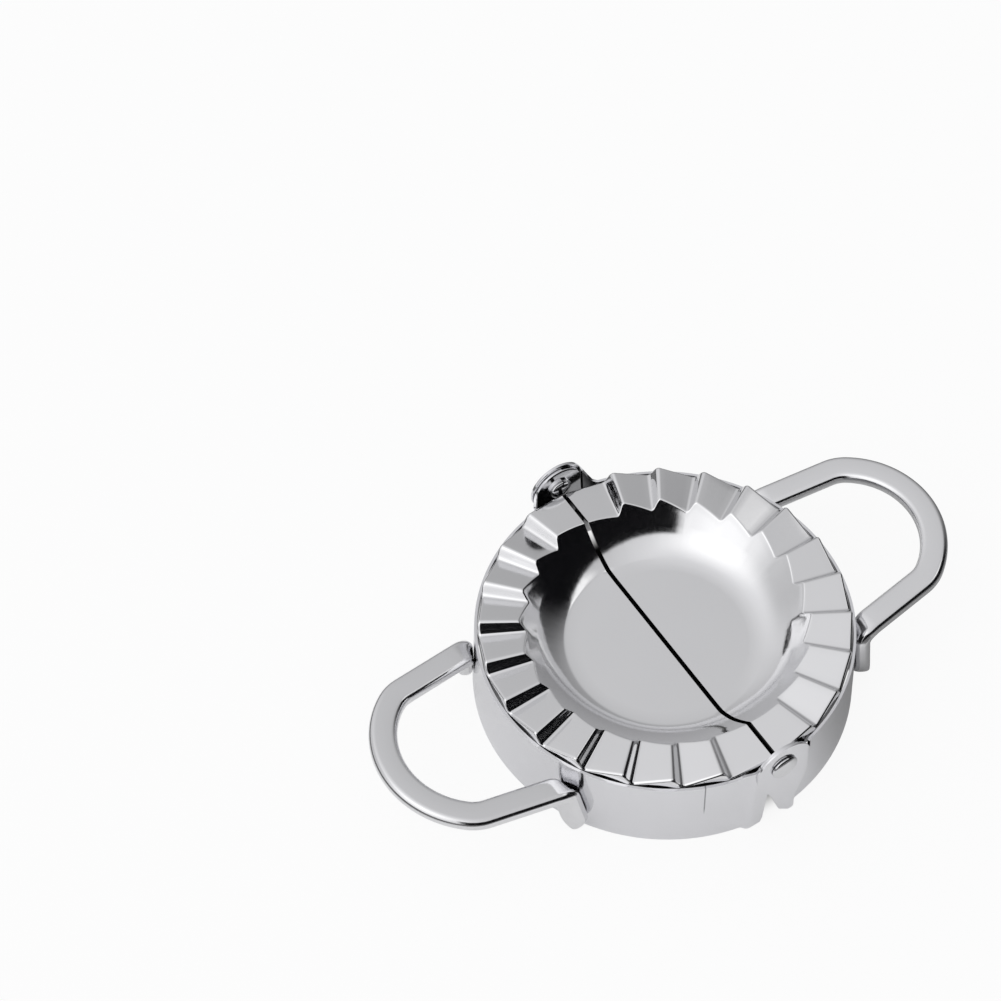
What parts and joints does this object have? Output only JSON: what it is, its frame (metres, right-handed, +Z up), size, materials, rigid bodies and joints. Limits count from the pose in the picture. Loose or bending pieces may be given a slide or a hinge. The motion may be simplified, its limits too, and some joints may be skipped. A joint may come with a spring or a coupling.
{
  "type": "dumpling mold",
  "caption": "Hinged steel mold that folds a round dough sheet in half over its filling and presses a pleated, sealed edge, with a loop handle on each half.",
  "frame": {"origin": "middle of the footprint on the plane that the open mold stands on, midway between the two hinge rivets", "axes": "+X towards the right half's handle, +Y along the fold towards the far hinge, +Z up out of the dish, with the mold open flat"},
  "size_m": [0.1648, 0.104, 0.0326],
  "materials": {
    "pressed_sheet": "mirror-polished stainless sheet",
    "skirt_sheet": "mirror-polished stainless sheet",
    "handle_bar": "polished stainless bar",
    "rivet_steel": "satin stainless"
  },
  "bodies": {
    "left_half": {"left_skirt": "skirt_sheet", "left_bowl": "pressed_sheet", "left_handle": "handle_bar", "near_rivet": "rivet_steel", "far_rivet": "rivet_steel", "near_washer": "rivet_steel", "far_washer": "rivet_steel"},
    "right_half": {"right_skirt": "skirt_sheet", "right_bowl": "pressed_sheet", "right_handle": "handle_bar"}
  },
  "joints": [
    {"name": "fold", "type": "hinge", "parent": "left_half", "child": "right_half", "pos_m": [0, 0, 0.0248], "axis": [0, -1, 0], "range_deg": [-5, 180]}
  ]
}
